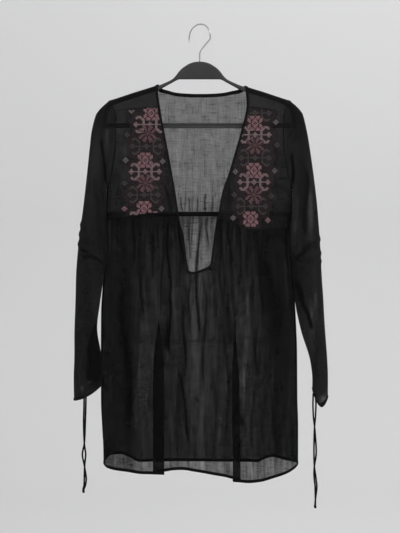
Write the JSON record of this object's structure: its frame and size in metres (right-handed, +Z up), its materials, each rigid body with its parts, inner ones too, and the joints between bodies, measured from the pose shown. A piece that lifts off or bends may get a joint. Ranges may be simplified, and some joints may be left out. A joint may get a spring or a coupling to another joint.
{
  "type": "blouse on a hanger",
  "caption": "sheer long-sleeved tunic blouse with a deep open neck, gathered yokes, cross-stitched fronts and cuff ties, hung on a plain clothes hanger",
  "frame": {"origin": "inner top of the hanger's hook, where it bears on the rail", "axes": "+X across the blouse to its right side as seen from the front, +Y from its front to its back, +Z up"},
  "size_m": [0.506, 0.098, 0.965],
  "materials": {
    "cloth": "sheer black cotton voile with slubs",
    "trim": "black folded cotton binding and cord",
    "embroidery": "dusty pink, beige and grey cross-stitch thread",
    "hanger_plastic": "matt dark grey moulding",
    "hook_chrome": "bright wire"
  },
  "bodies": {
    "root": {"front_yoke_left": "cloth", "front_yoke_right": "cloth", "back_yoke": "cloth", "front_skirt": "cloth", "back_skirt": "cloth", "sleeve_left": "cloth", "sleeve_right": "cloth", "back_band": "trim", "neck_binding": "trim", "cuff_left": "trim", "cuff_right": "trim", "tie_left_a": "trim", "tie_left_b": "trim", "tie_right_a": "trim", "tie_right_b": "trim", "knot_left": "trim", "knot_right": "trim", "hanger_body": "hanger_plastic", "hanger_bar": "hanger_plastic", "hanger_hook": "hook_chrome"}
  },
  "joints": []
}
